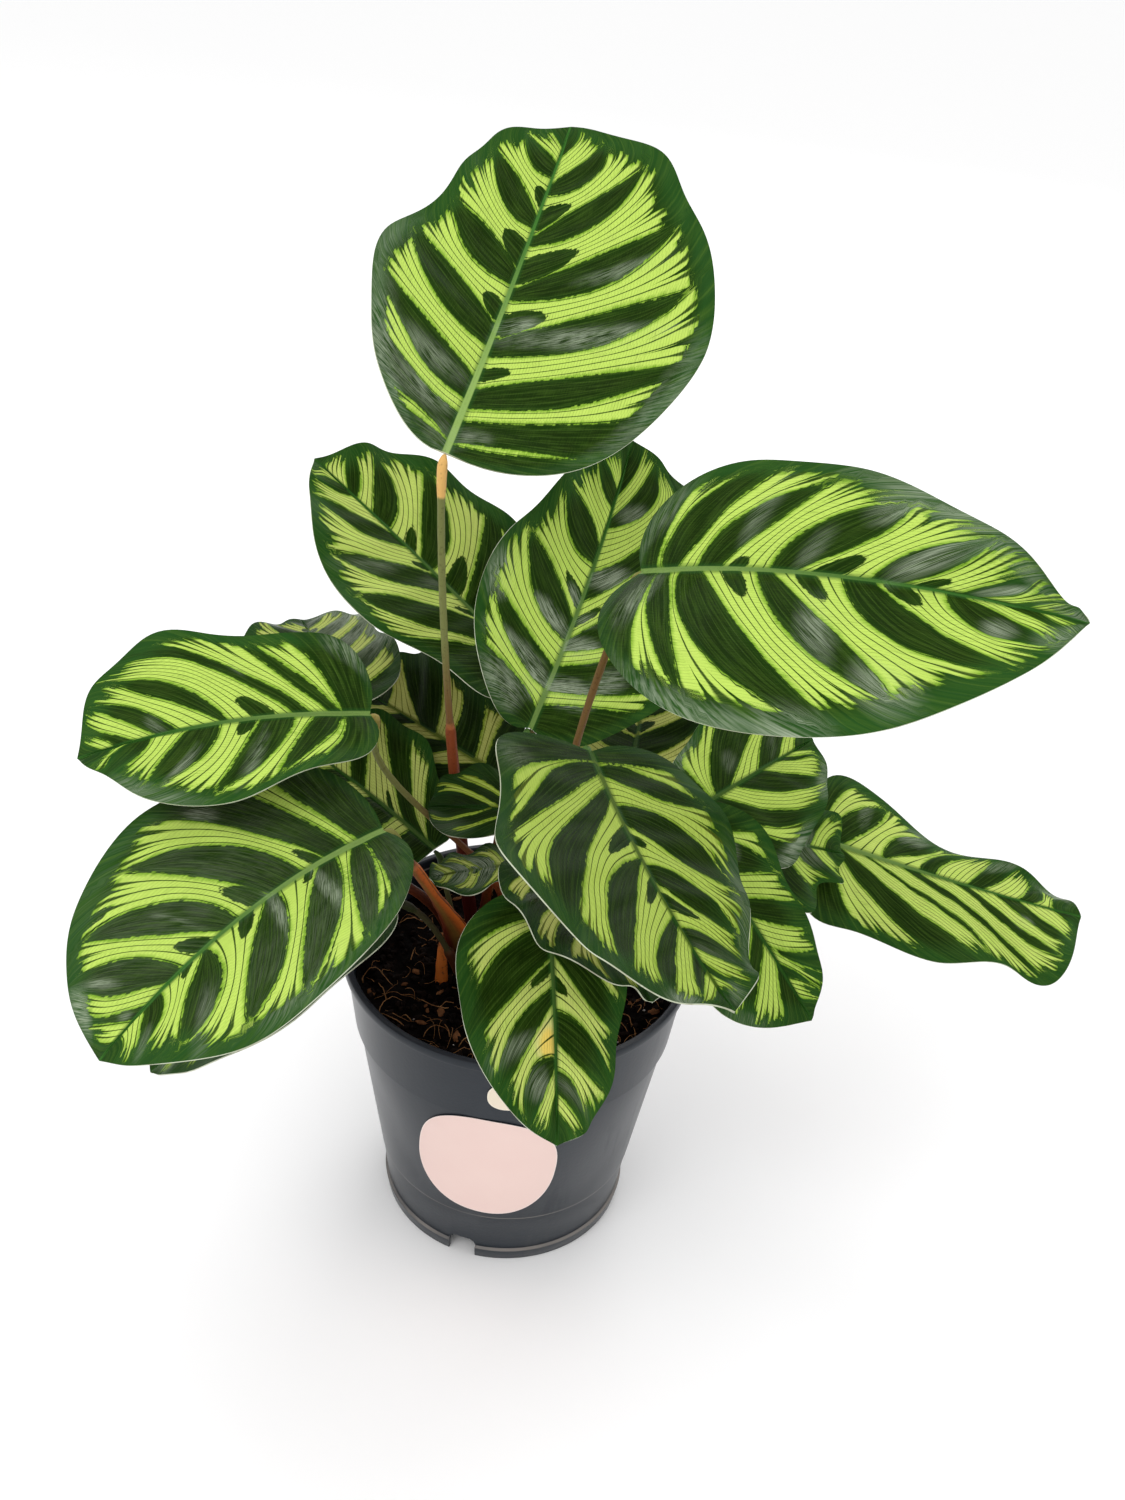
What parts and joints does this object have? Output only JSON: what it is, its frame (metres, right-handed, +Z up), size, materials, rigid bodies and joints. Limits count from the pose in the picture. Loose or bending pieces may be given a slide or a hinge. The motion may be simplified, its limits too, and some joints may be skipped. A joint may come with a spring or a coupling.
{
  "type": "potted peacock plant",
  "caption": "Potted peacock plant: broad oval leaves with a feather pattern, waved margins and thin stalks, rooted in soil that fills a round, tapered, drained nursery pot.",
  "frame": {"origin": "middle of the pot's flat base, on the surface that the pot stands on", "axes": "+Z up along the pot's axis, -Y towards the front, the side that carries the large sticker, +X to the right seen from the front"},
  "size_m": [0.3364, 0.2597, 0.3533],
  "materials": {
    "blade": "waxy satin leaf, yellow-green with dark green blotches above and purplish below",
    "stalk": "smooth olive-brown leaf stalk, redder at the foot",
    "sheath": "dry orange-brown bud sheath",
    "pot": "semi-gloss blue-black moulded plastic",
    "soil": "rough dark peat with light fibres",
    "sticker": "plain satin paper sticker"
  },
  "bodies": {
    "root": {"pot": "pot", "soil": "soil", "leaf_crown": "blade", "stalk_crown": "stalk", "leaf_rear_left": "blade", "stalk_rear_left": "stalk", "leaf_rear_middle": "blade", "stalk_rear_middle": "stalk", "leaf_right_high": "blade", "stalk_right_high": "stalk", "leaf_front_broad": "blade", "stalk_front_broad": "stalk", "leaf_front_low": "blade", "stalk_front_low": "stalk", "leaf_front_tucked": "blade", "stalk_front_tucked": "stalk", "leaf_left_high": "blade", "stalk_left_high": "stalk", "leaf_left_broad": "blade", "stalk_left_broad": "stalk", "leaf_left_tucked": "blade", "stalk_left_tucked": "stalk", "leaf_left_rear": "blade", "stalk_left_rear": "stalk", "leaf_rear_inner": "blade", "stalk_rear_inner": "stalk", "leaf_left_inner": "blade", "stalk_left_inner": "stalk", "leaf_centre_small": "blade", "stalk_centre_small": "stalk", "leaf_centre_curled": "blade", "stalk_centre_curled": "stalk", "leaf_right_inner": "blade", "stalk_right_inner": "stalk", "leaf_right_front": "blade", "stalk_right_front": "stalk", "leaf_right_tucked": "blade", "stalk_right_tucked": "stalk", "leaf_right_far": "blade", "stalk_right_far": "stalk", "leaf_rear_right": "blade", "stalk_rear_right": "stalk", "bud_sheath": "sheath", "sticker_front": "sticker", "sticker_collar": "sticker"}
  },
  "joints": []
}
